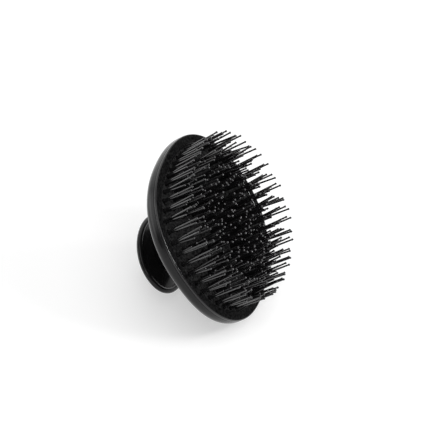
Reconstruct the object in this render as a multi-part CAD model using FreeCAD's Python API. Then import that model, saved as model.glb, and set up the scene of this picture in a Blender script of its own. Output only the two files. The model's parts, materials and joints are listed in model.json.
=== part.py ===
import FreeCAD, Part
import math
import os
from FreeCAD import Vector

# Hand scalp brush: an oval brush head with tufts of ball-ended pins on its face and a
# knob on a short neck behind it.  The brush is built about its own axis: +Z points out
# through the pins, X is the long way of the oval and z = 0 is the front of the face.
# At the end it is tipped over and laid down on its rim and on the knob's lip, +Z up.

# Head outline and its edge
head_length = 98.0
head_width = 83.0
head_power = 2.27            # 2 would be an ellipse; a little more squares it off
head_egg = 0.0107            # makes the +X end a little more pointed than the other
rim_height = 7.5             # from the face to where the back starts
rim_corner_radius = 4.6
back_height = 3.6            # of the domed back, over the rim corner
back_margin = 0.8            # flat strip between the rim corner and the dome
wall = 2.0
frame_edge = 1.0             # visible edge of the face frame
parting_gap = 0.15
edge_fillet = 0.45

# Face frame and pin plate
frame_band = 4.6             # width of the plain band round the pins
plate_recess = 0.35
plate_thickness = 1.85
plate_flange = 0.85          # how far the plate reaches behind the band
fit_gap = 0.1
skirt_inset = 2.2
skirt_thickness = 1.2
skirt_depth = 3.4
backing_thickness = 1.5

# Tufts and pins
tuft_inset = 6.4             # outer ring of tufts, in from the outline
ring_pitch = 7.0
tuft_pitch = 5.4
tuft_lean_deg = 1.5          # outward lean of the outermost tufts
pin_splay_deg = 5.2          # of the widest tufts
tight_share = 0.3            # the tightest tufts splay by this share of that
pin_scatter = 0.25           # each pin may splay this share more or less than its tuft
pin_lengths = (16.9, 15.4, 11.6, 8.0)    # from the face to the ball
pin_root_offset = 0.42
pin_root_radius = 0.52
pin_tip_radius = 0.39
pin_ball_radius = 0.55
root_sink = 0.2              # pin roots start this far inside their shank
shank_radius = 1.2
hole_radius = 1.3
shank_recess = 0.7
button_radius = 1.7
button_thickness = 0.8
tuft_patterns = 5            # different tufts in each ring, so that none looks copied
golden_angle = 137.5

# Seal between shell and face frame
seal_radius = 0.45
seal_inset = 1.5
seal_step = 1.0

# Neck and knob
neck_half_length = 8.6
neck_half_width = 6.5
neck_power = 2.1
neck_flare_head = 5.0
neck_flare_knob = 4.0
neck_flare_share = 0.8       # flares are this much flatter than a quarter circle
knob_length = 45.0
knob_width = 34.2
knob_power = 2.1
knob_lip_depth = 31.5        # centre of the rounded lip, behind the face
knob_lip_radius = 1.4
knob_drop = 1.9              # neck and knob sit this far off the head's centre, towards -Y
dish_floor = 1.3
dish_rise = 2.2              # cone that lifts the dish from its lip to the neck
cone_bulge_x = 3.0           # the cone's middle section is this much wider than the neck's foot
cone_bulge_y = 2.0
cone_bulge_height = 0.65     # and stands at this share of its height
cap_inset = 2.7
cap_edge = 0.9
cap_dome = 1.5
cap_round = 6.0              # width of the sloping edge round the cap's flat middle

# Screws that hold shell, neck and dish together
screw_spread = 5.4
screw_radius = 1.3
screw_length = 8.0
screw_head_radius = 2.4
screw_head_height = 1.7
screw_clearance = 0.15
screw_thread_gap = 0.05
screw_slot_length = 2.8
screw_slot_width = 0.6
screw_pocket_gap = 0.5
neck_bore_radius = 2.4

post_radius = 2.0
post_ring_inset = 17.0
post_count = 6

outline_points = 48
extent_mesh_step = 0.2

half_length = head_length / 2
half_width = head_width / 2
knob_half_length = knob_length / 2
knob_half_width = knob_width / 2
plate_front = -plate_recess
plate_back = plate_front - plate_thickness
button_back = plate_back - button_thickness
backing_front = button_back - fit_gap / 2
backing_back = backing_front - backing_thickness
shell_front = -(frame_edge + parting_gap)
corner_start = rim_height - rim_corner_radius
back_start = rim_corner_radius + back_margin
back_run = half_width - back_start - neck_half_width - neck_flare_head + 1.0


def oval_reach(half_x, half_y, power, angle, egg=0.0):
    """Distance from the centre to an oval (superellipse) in one direction."""
    cos_term = abs(math.cos(angle) / half_x) ** power
    sin_term = abs(math.sin(angle) / half_y) ** power
    return (cos_term + sin_term) ** (-1 / power) * (1 + egg * math.cos(3 * angle))


def oval_wire(half_x, half_y, power, z, egg=0.0, centre_y=0.0):
    points = []
    for step in range(outline_points):
        angle = 2 * math.pi * step / outline_points
        reach = oval_reach(half_x, half_y, power, angle, egg)
        points.append(Vector(reach * math.cos(angle), centre_y + reach * math.sin(angle), z))
    curve = Part.BSplineCurve()
    curve.interpolate(points, PeriodicFlag=True)
    return Part.Wire([curve.toShape()])


def head_reach(inset, angle):
    return oval_reach(half_length - inset, half_width - inset, head_power, angle, head_egg)


def head_wire(inset, z, centre_y=0.0):
    return oval_wire(half_length - inset, half_width - inset, head_power, z, head_egg, centre_y)


def knob_wire(inset, z):
    return oval_wire(knob_half_length - inset, knob_half_width - inset, knob_power, z, 0.0, -knob_drop)


def neck_wire(growth, z):
    return oval_wire(neck_half_length + growth, neck_half_width + growth, neck_power, z, 0.0, -knob_drop)


def prism(wire, height):
    return Part.Face(wire).extrude(Vector(0, 0, height))


def loft(wires):
    return Part.makeLoft(wires, True, False)


def cylinder(radius, bottom, top, x=0.0, y=0.0):
    return Part.makeCylinder(radius, top - bottom, Vector(x, y, bottom))


def rounded_edges(shape, z, radius):
    """Round the closed edges that lie in the plane at height z."""
    flat = [edge for edge in shape.Edges
            if abs(edge.BoundBox.ZMax - z) < 1e-3 and abs(edge.BoundBox.ZMin - z) < 1e-3]
    return shape.makeFillet(radius, flat)


# ---------------------------------------------------------------- head shell

def back_rise(share):
    """Height of the back over its rim, as a share of the way from rim to neck: a soft S."""
    return back_height * (1 - math.cos(math.pi * share)) / 2


def back_solid(skin, front_round):
    """The head's outside, or with skin its inside: straight rim, rounded corner, domed back."""
    rim_z = -rim_height + skin
    rim = prism(head_wire(skin, rim_z), shell_front - rim_z)
    rim = rounded_edges(rim, rim_z, rim_corner_radius - skin)
    if front_round > 0:
        rim = rounded_edges(rim, shell_front, front_round)
    steps = 8
    sections = []
    for step in range(steps + 1):
        share = step / steps
        inset = back_start + back_run * share
        centre_y = -knob_drop * (1 - math.cos(math.pi * share)) / 2
        sections.append(head_wire(inset, rim_z - back_rise(share), centre_y))
    return rim.fuse(loft(sections))


neck_head_z = -rim_height - back_height
floor_z = neck_head_z + wall


def screw_places():
    return [(-screw_spread, -knob_drop), (screw_spread, -knob_drop)]


def make_head_shell():
    outer = back_solid(0.0, edge_fillet / 2)
    inner = back_solid(wall, 0.0)
    posts = []
    for index in range(post_count):
        angle = 2 * math.pi * (index + 0.5) / post_count
        reach = head_reach(post_ring_inset, angle)
        posts.append(cylinder(post_radius, neck_head_z, backing_back - fit_gap,
                              reach * math.cos(angle), reach * math.sin(angle)))
    kept_posts = Part.makeCompound(posts).common(outer)
    seat = prism(head_wire(seal_step, shell_front - 2 * seal_radius), 2 * seal_radius)
    shell = outer.cut([inner, seat]).fuse(kept_posts.Solids)
    holes = [cylinder(screw_radius + screw_clearance, neck_head_z - 1, floor_z + 1, x, y)
             for x, y in screw_places()]
    return shell.cut(holes)


def make_rim_seal():
    spine = head_wire(seal_inset, shell_front - seal_radius)
    start = Vector(head_reach(seal_inset, 0.0), 0, shell_front - seal_radius)
    section = Part.Wire([Part.makeCircle(seal_radius - fit_gap / 2, start, Vector(0, 1, 0))])
    return Part.Solid(spine.makePipeShell([section], True, True))


# ---------------------------------------------------------------- face

def make_face_frame():
    band = prism(head_wire(0.0, -frame_edge), frame_edge)
    opening = prism(head_wire(frame_band, -frame_edge), frame_edge)
    band = rounded_edges(band.cut(opening), 0.0, edge_fillet)
    skirt = prism(head_wire(skirt_inset, -frame_edge - skirt_depth), skirt_depth)
    hollow = prism(head_wire(skirt_inset + skirt_thickness, -frame_edge - skirt_depth), skirt_depth)
    return band.fuse(skirt.cut(hollow))


def tuft_rings():
    """One list of (x, y, outward angle, lean) for each ring, from the outside in."""
    found = []
    inset = tuft_inset
    while half_width - inset > ring_pitch / 2:
        lean = tuft_lean_deg * (half_width - inset) / (half_width - tuft_inset)
        found.append(evenly_placed(inset, (len(found) + 1) / 2, lean))
        inset += ring_pitch
    last_reach = (half_length - inset) / 2
    if last_reach > tuft_pitch / 4:
        found.append([(-last_reach, 0.0, math.pi, 0.0), (last_reach, 0.0, 0.0, 0.0)])
    return found


def evenly_placed(inset, phase, lean):
    """Tuft places at equal distances round the head, found by walking along the oval."""
    walk = [(0.0, 0.0)]
    walk_steps = 720
    last = Vector(head_reach(inset, 0.0), 0, 0)
    for step in range(1, walk_steps + 1):
        angle = 2 * math.pi * step / walk_steps
        reach = head_reach(inset, angle)
        here = Vector(reach * math.cos(angle), reach * math.sin(angle), 0)
        walk.append((walk[-1][0] + here.distanceToPoint(last), angle))
        last = here
    total = walk[-1][0]
    count = 2 * round(total / tuft_pitch / 2)
    places = []
    for index in range(count):
        goal = total * ((index + phase) % count) / count
        angle = next(angle for distance, angle in walk if distance >= goal)
        reach = head_reach(inset, angle)
        places.append((reach * math.cos(angle), reach * math.sin(angle), angle, lean))
    return places


rings = tuft_rings()


def make_pin_plate():
    body = prism(head_wire(frame_band + fit_gap, plate_back), plate_thickness)
    flange_front = -frame_edge - fit_gap
    flange = prism(head_wire(frame_band - plate_flange, plate_back), flange_front - plate_back)
    holes = [cylinder(hole_radius, plate_back - 1, plate_front + 1, x, y)
             for ring in rings for x, y, outward, lean in ring]
    return body.fuse(flange).cut(holes)


def make_pin(length, splay, around, lean):
    """A tapered pin with a ball tip, leaning out in +X and splayed in its own direction."""
    root_z = plate_front - shank_recess - root_sink
    shaft_length = length - root_z
    taper = Part.makeCone(pin_root_radius, pin_tip_radius, shaft_length, Vector(0, 0, 0))
    ball = Part.makeSphere(pin_ball_radius, Vector(0, 0, shaft_length))
    pin = taper.fuse(ball)
    pin.rotate(Vector(0, 0, 0), Vector(0, 1, 0), splay)
    pin.translate(Vector(pin_root_offset, 0, 0))
    pin.rotate(Vector(0, 0, 0), Vector(0, 0, 1), around)
    pin.rotate(Vector(0, 0, 0), Vector(0, 1, 0), lean)
    pin.translate(Vector(0, 0, root_z))
    return pin


def make_tuft(lean, turn, splay):
    """A pressed-in root button and shank that carries four pins of different lengths."""
    button = cylinder(button_radius, button_back, plate_back)
    shank = cylinder(shank_radius, plate_back, plate_front - shank_recess)
    pins = []
    for index, length in enumerate(pin_lengths):
        around = turn + index * 360 / len(pin_lengths)
        scatter = pin_scatter * math.sin(math.radians(2 * turn + golden_angle * index))
        pins.append(make_pin(length, splay * (1 + scatter), around, lean))
    return button.fuse([shank] + pins)


def make_tuft_ring(ring, ring_index):
    lean = ring[0][3]
    patterns = []
    for number in range(tuft_patterns):
        width = tight_share + (1 - tight_share) * number / (tuft_patterns - 1)
        turn = golden_angle * (ring_index + tuft_patterns * number)
        patterns.append(make_tuft(lean, turn, pin_splay_deg * width))
    tufts = []
    for index, (x, y, outward, _) in enumerate(ring):
        tuft = patterns[(index * 2 + ring_index) % tuft_patterns].copy()
        tuft.rotate(Vector(0, 0, 0), Vector(0, 0, 1), math.degrees(outward))
        tuft.translate(Vector(x, y, 0))
        tufts.append(tuft)
    return Part.makeCompound(tufts)


def make_backing_plate():
    return prism(head_wire(frame_band - plate_flange, backing_back), backing_thickness)


# ---------------------------------------------------------------- neck and knob

dish_back_z = -knob_lip_depth - dish_floor / 2
dish_front_z = dish_back_z + dish_floor
neck_knob_z = dish_front_z + dish_rise


def flare(distance, size):
    """How much the neck has grown at a distance from the end that it flares into."""
    if distance >= size:
        return 0.0
    return size - math.sqrt(size * size - (size - distance) ** 2)


def make_neck():
    steps = 14
    length = neck_head_z - neck_knob_z
    wires = []
    for step in range(steps + 1):
        along = length * (1 - math.cos(math.pi * step / steps)) / 2
        grown = flare(along, neck_flare_head) + flare(length - along, neck_flare_knob)
        wires.append(neck_wire(neck_flare_share * grown, neck_head_z - along))
    column = loft(wires)
    cuts = [cylinder(neck_bore_radius, neck_knob_z - 1, neck_head_z + 1, 0, -knob_drop)]
    for x, y in screw_places():
        cuts.append(cylinder(screw_radius, neck_head_z - screw_length, neck_head_z + 1, x, y))
        cuts.append(cylinder(screw_radius, neck_knob_z - 1, neck_knob_z + screw_length, x, y))
    return column.cut(cuts)


def make_knob_dish():
    spine = knob_wire(knob_lip_radius, -knob_lip_depth)
    start = Vector(knob_half_length - knob_lip_radius, -knob_drop, -knob_lip_depth)
    section = Part.Wire([Part.makeCircle(knob_lip_radius, start, Vector(0, 1, 0))])
    lip = Part.Solid(spine.makePipeShell([section], True, True))
    floor = prism(knob_wire(knob_lip_radius, dish_back_z), dish_floor)
    foot_growth = neck_flare_share * neck_flare_knob
    bulge_x = neck_half_length + foot_growth + cone_bulge_x
    bulge_y = neck_half_width + foot_growth + cone_bulge_y
    bulge_z = dish_front_z + cone_bulge_height * dish_rise
    cone = loft([knob_wire(2 * knob_lip_radius, dish_front_z),
                 oval_wire(bulge_x, bulge_y, neck_power, bulge_z, 0.0, -knob_drop),
                 neck_wire(foot_growth, neck_knob_z)])
    holes = [cylinder(screw_radius + screw_clearance, dish_back_z - 1, neck_knob_z + 1, x, y)
             for x, y in screw_places()]
    return floor.fuse([lip, cone]).cut(holes)


def make_knob_cap():
    outer_z = dish_back_z - fit_gap - cap_edge
    rim = prism(knob_wire(cap_inset, outer_z), cap_edge)
    dome_steps = 5
    wires = []
    for step in range(dome_steps + 1):
        share = step / dome_steps
        inset = cap_inset + cap_round * share
        wires.append(knob_wire(inset, outer_z - cap_dome * (1 - (1 - share) ** 2)))
    dome = loft(wires)
    pocket_z = dish_back_z - screw_head_height - fit_gap
    pockets = [cylinder(screw_head_radius + screw_pocket_gap, pocket_z, dish_back_z, x, y)
               for x, y in screw_places()]
    return rim.fuse(dome).cut(pockets)


def make_screw(seat_z, inward):
    """A pan-head self-tapping screw: its head sits at seat_z, its shank runs along inward."""
    tip_z = seat_z + inward * screw_length
    shank = cylinder(screw_radius - screw_thread_gap, min(seat_z, tip_z), max(seat_z, tip_z))
    head_top = seat_z - inward * screw_head_height
    head = cylinder(screw_head_radius, min(seat_z, head_top), max(seat_z, head_top))
    slot_depth = screw_head_height / 2
    slot_end = head_top + inward * slot_depth
    slot_corner = Vector(-screw_slot_length / 2, -screw_slot_width / 2, min(head_top, slot_end))
    slot = Part.makeBox(screw_slot_length, screw_slot_width, slot_depth, slot_corner)
    cross = slot.copy()
    cross.rotate(Vector(0, 0, 0), Vector(0, 0, 1), 90)
    return head.fuse(shank).cut([slot, cross])


def screw_pair(seat_z, inward):
    screws = []
    for x, y in screw_places():
        screw = make_screw(seat_z, inward)
        screw.translate(Vector(x, y, 0))
        screws.append(screw)
    return Part.makeCompound(screws)


# ---------------------------------------------------------------- pose and export

def rest_elevation():
    """Angle of the brush axis above the ground when rim corner and knob lip both touch it.

    In the middle plane both contacts are circles, so the ground is their common tangent.
    """
    rise = (half_width - rim_corner_radius) - (knob_half_width + knob_drop - knob_lip_radius)
    run = knob_lip_depth - corner_start
    lean = math.asin((rim_corner_radius - knob_lip_radius) / math.hypot(rise, run))
    return math.atan2(rise, run) + lean


def laid_down(shape, elevation, lift, shift):
    placed = shape.copy()
    placed.rotate(Vector(0, 0, 0), Vector(1, 0, 0), 90 - math.degrees(elevation))
    placed.translate(Vector(0, shift, lift))
    return placed


nodes = {
    "head_shell": make_head_shell(),
    "rim_seal": make_rim_seal(),
    "face_frame": make_face_frame(),
    "pin_plate": make_pin_plate(),
    "tuft_backing": make_backing_plate(),
    "neck": make_neck(),
    "knob_dish": make_knob_dish(),
    "knob_cap": make_knob_cap(),
    "neck_screws": screw_pair(floor_z, -1),
    "dish_screws": screw_pair(dish_back_z, 1),
}
for ring_index, ring in enumerate(rings):
    nodes["tuft_ring_%d" % (ring_index + 1)] = make_tuft_ring(ring, ring_index)

elevation = rest_elevation()
contact_drop = ((half_width - rim_corner_radius) * math.cos(elevation)
                + corner_start * math.sin(elevation) + rim_corner_radius)

extent = []
for name in ("head_shell", "knob_dish", "knob_cap", "tuft_ring_1"):
    turned = laid_down(nodes[name], elevation, contact_drop, 0.0)
    extent += [point.y for point in turned.tessellate(extent_mesh_step)[0]]
shift = -(min(extent) + max(extent)) / 2

os.makedirs("parts", exist_ok=True)
for name, shape in nodes.items():
    laid_down(shape, elevation, contact_drop, shift).exportStep("parts/%s.step" % name)
print("axis elevation %.2f deg, lift %.3f, shift %.3f" % (math.degrees(elevation), contact_drop, shift))
print("tufts", sum(len(ring) for ring in rings), "in rings", [len(ring) for ring in rings])
for name, shape in nodes.items():
    print(name, len(shape.Solids), "solids, valid", shape.isValid(), "volume %.0f mm3" % shape.Volume)
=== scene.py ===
import json
import math

import bpy
from mathutils import Matrix, Vector


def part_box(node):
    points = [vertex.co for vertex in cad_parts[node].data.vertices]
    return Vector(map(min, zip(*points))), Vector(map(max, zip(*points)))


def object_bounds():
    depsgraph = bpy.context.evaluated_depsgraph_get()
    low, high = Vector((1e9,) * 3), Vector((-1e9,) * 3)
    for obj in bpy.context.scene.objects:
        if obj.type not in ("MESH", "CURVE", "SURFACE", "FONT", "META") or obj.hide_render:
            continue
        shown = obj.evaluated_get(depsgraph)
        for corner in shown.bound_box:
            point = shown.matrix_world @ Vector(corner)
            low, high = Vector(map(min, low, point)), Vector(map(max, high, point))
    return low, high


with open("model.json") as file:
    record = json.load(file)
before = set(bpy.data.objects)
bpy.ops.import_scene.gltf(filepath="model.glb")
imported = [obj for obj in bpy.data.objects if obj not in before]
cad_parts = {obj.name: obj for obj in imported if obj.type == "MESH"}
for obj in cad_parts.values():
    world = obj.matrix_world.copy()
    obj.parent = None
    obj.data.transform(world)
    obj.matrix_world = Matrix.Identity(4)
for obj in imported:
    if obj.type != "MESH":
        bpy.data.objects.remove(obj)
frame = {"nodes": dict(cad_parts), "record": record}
cad_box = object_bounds()
nodes = frame["nodes"]

# Camera: where it stands, in degrees, and how much it sees, in metres
CAMERA_AZIMUTH = -80.27        # 0 looks along +Y, 90 along -X
CAMERA_ELEVATION = 36.23
CAMERA_ROLL = 5.65
CAMERA_LENS_MM = 800.0
SENSOR_MM = 36.0
VIEW_HEIGHT = 0.206
AIM_RIGHT = 0.0041             # the aim point, from the middle of the pin plate
AIM_UP = 0.0019

# Studio light, as radiance. Each EDGE and TOP is where a wall fades in or out, as a part of a unit
# direction. The back wall is on +X and the left wall on +Y, as the camera sees them.
FLOOR_GLOW = 0.46              # the table is lit from below
WORLD_DARK = 0.18
WORLD_BACK = 1.0
WORLD_LEFT = 2.6
WORLD_HORIZON = 1.0
BACK_WALL_EDGE = (0.0, 0.6)
LEFT_WALL_EDGE = (0.80, 0.96)
LEFT_WALL_TOP = (0.35, 0.55)
HORIZON_EDGE = (0.03, 0.05)

# Lamps: name, place and width in metres, power in watts; all point at LAMP_TARGET
LAMP_TARGET = (0, 0, 0.03)
LAMPS = [
    ("top_softbox", (-0.35, -0.1, 1.3), 1.5, 10.0),
    ("camera_softbox", (-1.3, -0.6, 0.9), 0.7, 4.0),
    ("right_lamp", (0.55, -0.95, 0.42), 0.2, 2.5),
    ("face_lamp", (0.0, -0.92, 0.8), 0.35, 4.0),
]

FLOOR_SIZE = 8.0

# Darkest and lightest base colour of each surface
SHELL_COLOURS = (0.005, 0.005, 0.0053), (0.008, 0.008, 0.0083)
# The pin plate and the frame are the same matt black plastic. The plate's lighter base colour is
# painted fill light for its shaded middle between the pins, and the frame's darker one is painted
# shade against the lamps on the band.
PLATE_COLOURS_WITH_PAINTED_FILL = (0.003, 0.003, 0.0031), (0.028, 0.028, 0.0282)
FRAME_COLOURS_WITH_PAINTED_SHADE = (0.001, 0.001, 0.0011), (0.014, 0.014, 0.0142)
FRAME_EDGE_COLOURS = (0.003, 0.003, 0.0033), (0.005, 0.005, 0.0053)
PIN_COLOURS = (0.006, 0.006, 0.0063), (0.011, 0.011, 0.0113)
RUBBER_COLOURS = (0.008, 0.008, 0.008), (0.015, 0.015, 0.015)
STEEL_COLOURS = (0.42, 0.42, 0.43), (0.56, 0.56, 0.57)
FLOOR_COLOURS = (0.56, 0.56, 0.56), (0.6, 0.6, 0.6)

# Least and most roughness of each surface
SHELL_ROUGHNESS = 0.14, 0.2
MATT_ROUGHNESS = 0.65, 0.9
FRAME_EDGE_ROUGHNESS = 0.12, 0.18
PIN_ROUGHNESS = 0.12, 0.2
RUBBER_ROUGHNESS = 0.6, 0.8
STEEL_ROUGHNESS = 0.25, 0.45
FLOOR_ROUGHNESS = 0.8

# Part of the noise range over which a colour or a value runs from one end to the other
SOFT_CONTRAST = 0.3, 0.7
SPECKLE_CONTRAST = 0.42, 0.6
FRAME_FRONT_FACING = 0.96, 0.995    # how squarely the frame must face the front to be matt


# ------------------------------------------------------------------ node helpers

def new_material(name):
    material = bpy.data.materials.new(name)
    material.use_nodes = True
    return material, material.node_tree.nodes, material.node_tree.links


def noise(tree, links, per_metre, detail=2.0, roughness=0.5):
    """Noise in the object's own coordinates, with this many features in a metre."""
    coordinates = tree.new("ShaderNodeTexCoord")
    texture = tree.new("ShaderNodeTexNoise")
    texture.inputs["Scale"].default_value = per_metre
    texture.inputs["Detail"].default_value = detail
    texture.inputs["Roughness"].default_value = roughness
    links.new(coordinates.outputs["Object"], texture.inputs["Vector"])
    return texture.outputs["Fac"]


def remap(tree, links, source, low, high, source_range=SOFT_CONTRAST):
    span = tree.new("ShaderNodeMapRange")
    span.inputs["From Min"].default_value, span.inputs["From Max"].default_value = source_range
    span.inputs["To Min"].default_value = low
    span.inputs["To Max"].default_value = high
    links.new(source, span.inputs["Value"])
    return span.outputs["Result"]


def colours(tree, links, source, dark_and_light, source_range=SOFT_CONTRAST):
    ramp = tree.new("ShaderNodeValToRGB")
    for stop, place, colour in zip(ramp.color_ramp.elements, source_range, dark_and_light):
        stop.position = place
        stop.color = (*colour, 1.0)
    links.new(source, ramp.inputs["Fac"])
    return ramp.outputs["Color"]


def bump(tree, links, height, depth, normal=None):
    """Relief from a height of 0 to 1, this many metres deep."""
    node = tree.new("ShaderNodeBump")
    node.inputs["Strength"].default_value = 1.0
    node.inputs["Distance"].default_value = depth
    links.new(height, node.inputs["Height"])
    if normal is not None:
        links.new(normal, node.inputs["Normal"])
    return node.outputs["Normal"]


def combine(tree, links, operation, first, second):
    node = tree.new("ShaderNodeMath")
    node.operation = operation
    links.new(first, node.inputs[0])
    links.new(second, node.inputs[1])
    return node.outputs["Value"]


def mottle(tree, links, shader, cloud, dark_and_light, roughness):
    """Vary a shader's base colour and roughness together."""
    links.new(colours(tree, links, cloud, dark_and_light), shader.inputs["Base Color"])
    links.new(remap(tree, links, cloud, *roughness), shader.inputs["Roughness"])


def set_gloss(shader, ior, level):
    shader.inputs["IOR"].default_value = ior
    shader.inputs["Specular IOR Level"].default_value = level


# ------------------------------------------------------------------ materials

def shell_plastic():
    """Satin-gloss black moulded plastic: almost smooth, with a faint moulding wave."""
    material, tree, links = new_material("shell_plastic_look")
    shader = tree["Principled BSDF"]
    set_gloss(shader, ior=1.5, level=0.25)
    cloud = noise(tree, links, per_metre=60.0, detail=3.0)
    grain = noise(tree, links, per_metre=1800.0)
    wave = noise(tree, links, per_metre=35.0, detail=1.0)
    mottle(tree, links, shader, cloud, SHELL_COLOURS, SHELL_ROUGHNESS)
    fine = bump(tree, links, grain, depth=0.000006)
    links.new(bump(tree, links, wave, depth=0.00008, normal=fine), shader.inputs["Normal"])
    return material


def matt_grain(tree, links, shader, dark_and_light):
    """Matt black plastic with a fine moulded grain, on the given shader."""
    set_gloss(shader, ior=1.45, level=0.02)
    speckle = noise(tree, links, per_metre=950.0, detail=4.0, roughness=0.7)
    grain = noise(tree, links, per_metre=1500.0, detail=3.0, roughness=0.6)
    links.new(colours(tree, links, speckle, dark_and_light, SPECKLE_CONTRAST),
              shader.inputs["Base Color"])
    links.new(remap(tree, links, grain, *MATT_ROUGHNESS), shader.inputs["Roughness"])
    links.new(bump(tree, links, grain, depth=0.00008), shader.inputs["Normal"])


def face_plastic():
    material, tree, links = new_material("face_plastic_look")
    matt_grain(tree, links, tree["Principled BSDF"], PLATE_COLOURS_WITH_PAINTED_FILL)
    return material


def frame_plastic():
    """The band round the pins: matt in front like the pin plate, glossy on its rounded edges."""
    material, tree, links = new_material("frame_plastic_look")
    matt = tree["Principled BSDF"]
    matt_grain(tree, links, matt, FRAME_COLOURS_WITH_PAINTED_SHADE)
    gloss = tree.new("ShaderNodeBsdfPrincipled")
    set_gloss(gloss, ior=1.5, level=0.5)
    cloud = noise(tree, links, per_metre=120.0, detail=3.0)
    mottle(tree, links, gloss, cloud, FRAME_EDGE_COLOURS, FRAME_EDGE_ROUGHNESS)
    coordinates = tree.new("ShaderNodeTexCoord")
    facing = tree.new("ShaderNodeVectorMath")
    facing.operation = "DOT_PRODUCT"
    facing.inputs[1].default_value = pin_direction()
    links.new(coordinates.outputs["Normal"], facing.inputs[0])
    mix = tree.new("ShaderNodeMixShader")
    links.new(remap(tree, links, facing.outputs["Value"], 0.0, 1.0, FRAME_FRONT_FACING),
              mix.inputs["Fac"])
    links.new(gloss.outputs["BSDF"], mix.inputs[1])
    links.new(matt.outputs["BSDF"], mix.inputs[2])
    links.new(mix.outputs["Shader"], tree["Material Output"].inputs["Surface"])
    return material


def pin_direction():
    """The way the pins point: away from the knob, whose flat back is the only mount."""
    return -Vector(frame["record"]["mounts"][0]["axis"])


def pin_nylon():
    """Smooth black nylon with a soft shine."""
    material, tree, links = new_material("pin_nylon_look")
    shader = tree["Principled BSDF"]
    set_gloss(shader, ior=1.53, level=0.85)
    cloud = noise(tree, links, per_metre=300.0)
    grain = noise(tree, links, per_metre=3000.0)
    mottle(tree, links, shader, cloud, PIN_COLOURS, PIN_ROUGHNESS)
    links.new(bump(tree, links, grain, depth=0.00001), shader.inputs["Normal"])
    return material


def seal_rubber():
    material, tree, links = new_material("seal_rubber_look")
    shader = tree["Principled BSDF"]
    cloud = noise(tree, links, per_metre=400.0, detail=3.0)
    mottle(tree, links, shader, cloud, RUBBER_COLOURS, RUBBER_ROUGHNESS)
    links.new(bump(tree, links, cloud, depth=0.00003), shader.inputs["Normal"])
    return material


def screw_steel():
    material, tree, links = new_material("screw_steel_look")
    shader = tree["Principled BSDF"]
    shader.inputs["Metallic"].default_value = 1.0
    cloud = noise(tree, links, per_metre=900.0, detail=3.0)
    mottle(tree, links, shader, cloud, STEEL_COLOURS, STEEL_ROUGHNESS)
    links.new(bump(tree, links, cloud, depth=0.00001), shader.inputs["Normal"])
    return material


def dress_nodes():
    """Give each piece the look of its slot; the frame has one of its own."""
    looks = {"shell_plastic": shell_plastic(), "face_plastic": face_plastic(),
             "pin_nylon": pin_nylon(), "seal_rubber": seal_rubber(), "screw_steel": screw_steel()}
    frame_look = frame_plastic()
    for part in frame["record"]["subparts"]:
        look = frame_look if part["node"] == "face_frame" else looks[part["material_slot"]]
        for place in nodes[part["node"]].material_slots:
            place.material = look


# ------------------------------------------------------------------ floor, light, camera

def make_floor():
    lowest = cad_box[0].z
    bpy.ops.mesh.primitive_plane_add(size=FLOOR_SIZE, location=(0, 0, lowest))
    floor = bpy.context.object
    floor.name = "studio_floor"
    material, tree, links = new_material("studio_floor_look")
    shader = tree["Principled BSDF"]
    cloud = noise(tree, links, per_metre=3.0)
    links.new(colours(tree, links, cloud, FLOOR_COLOURS), shader.inputs["Base Color"])
    shader.inputs["Roughness"].default_value = FLOOR_ROUGHNESS
    shader.inputs["Specular IOR Level"].default_value = 0.1
    shader.inputs["Emission Color"].default_value = (1.0, 1.0, 1.0, 1.0)
    shader.inputs["Emission Strength"].default_value = FLOOR_GLOW
    floor.data.materials.append(material)


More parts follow.
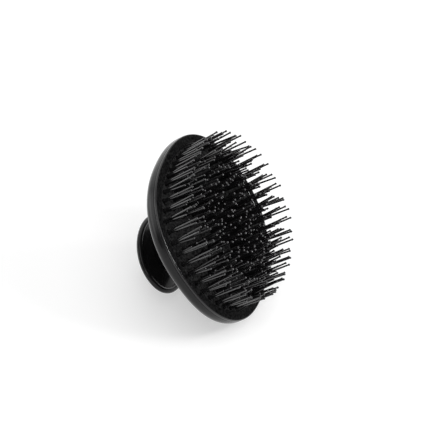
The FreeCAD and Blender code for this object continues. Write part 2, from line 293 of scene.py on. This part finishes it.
def make_world():
    """A white studio, with bright back and left walls and a dark room where the camera stands."""
    world = bpy.data.worlds.new("studio_world")
    world.use_nodes = True
    tree, links = world.node_tree.nodes, world.node_tree.links
    coordinates = tree.new("ShaderNodeTexCoord")
    split = tree.new("ShaderNodeSeparateXYZ")
    links.new(coordinates.outputs["Generated"], split.inputs["Vector"])
    back_wall = remap(tree, links, split.outputs["X"], WORLD_DARK, WORLD_BACK, BACK_WALL_EDGE)
    left_wall = remap(tree, links, split.outputs["Y"], 0.0, WORLD_LEFT, LEFT_WALL_EDGE)
    left_wall_height = remap(tree, links, split.outputs["Z"], 1.0, 0.0, LEFT_WALL_TOP)
    horizon = remap(tree, links, split.outputs["Z"], WORLD_HORIZON, 0.0, HORIZON_EDGE)
    light = combine(tree, links, "MULTIPLY", left_wall, left_wall_height)
    light = combine(tree, links, "MAXIMUM", light, back_wall)
    light = combine(tree, links, "MAXIMUM", light, horizon)
    background = tree["Background"]
    background.inputs["Color"].default_value = (1.0, 1.0, 1.0, 1.0)
    links.new(light, background.inputs["Strength"])
    bpy.context.scene.world = world


def make_lamp(name, place, width, power):
    data = bpy.data.lights.new(name, "AREA")
    data.shape = "DISK"
    data.size = width
    data.energy = power
    lamp = bpy.data.objects.new(name, data)
    lamp.visible_camera = False
    lamp.location = place
    lamp.rotation_mode = "QUATERNION"
    lamp.rotation_quaternion = (Vector(LAMP_TARGET) - Vector(place)).to_track_quat("-Z", "Y")
    bpy.context.scene.collection.objects.link(lamp)


def make_camera():
    azimuth = math.radians(CAMERA_AZIMUTH)
    elevation = math.radians(CAMERA_ELEVATION)
    back = Vector((math.sin(azimuth) * math.cos(elevation),
                   -math.cos(azimuth) * math.cos(elevation), math.sin(elevation)))
    level = (-back).to_track_quat("-Z", "Y").to_matrix()
    look = level @ Matrix.Rotation(math.radians(CAMERA_ROLL), 3, "Z")
    right = look @ Vector((1, 0, 0))
    up = look @ Vector((0, 1, 0))
    low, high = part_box("pin_plate")
    aim = (low + high) / 2 + right * AIM_RIGHT + up * AIM_UP
    distance = VIEW_HEIGHT * CAMERA_LENS_MM / SENSOR_MM
    data = bpy.data.cameras.new("camera")
    data.lens = CAMERA_LENS_MM
    data.sensor_width = SENSOR_MM
    data.clip_start = distance / 100
    data.clip_end = distance * 20
    camera = bpy.data.objects.new("camera", data)
    camera.rotation_mode = "QUATERNION"
    camera.rotation_quaternion = look.to_quaternion()
    camera.location = aim + back * distance
    bpy.context.scene.collection.objects.link(camera)
    bpy.context.scene.camera = camera


dress_nodes()
make_floor()
make_world()
for lamp_values in LAMPS:
    make_lamp(*lamp_values)
make_camera()
bpy.context.scene.view_settings.view_transform = "Standard"
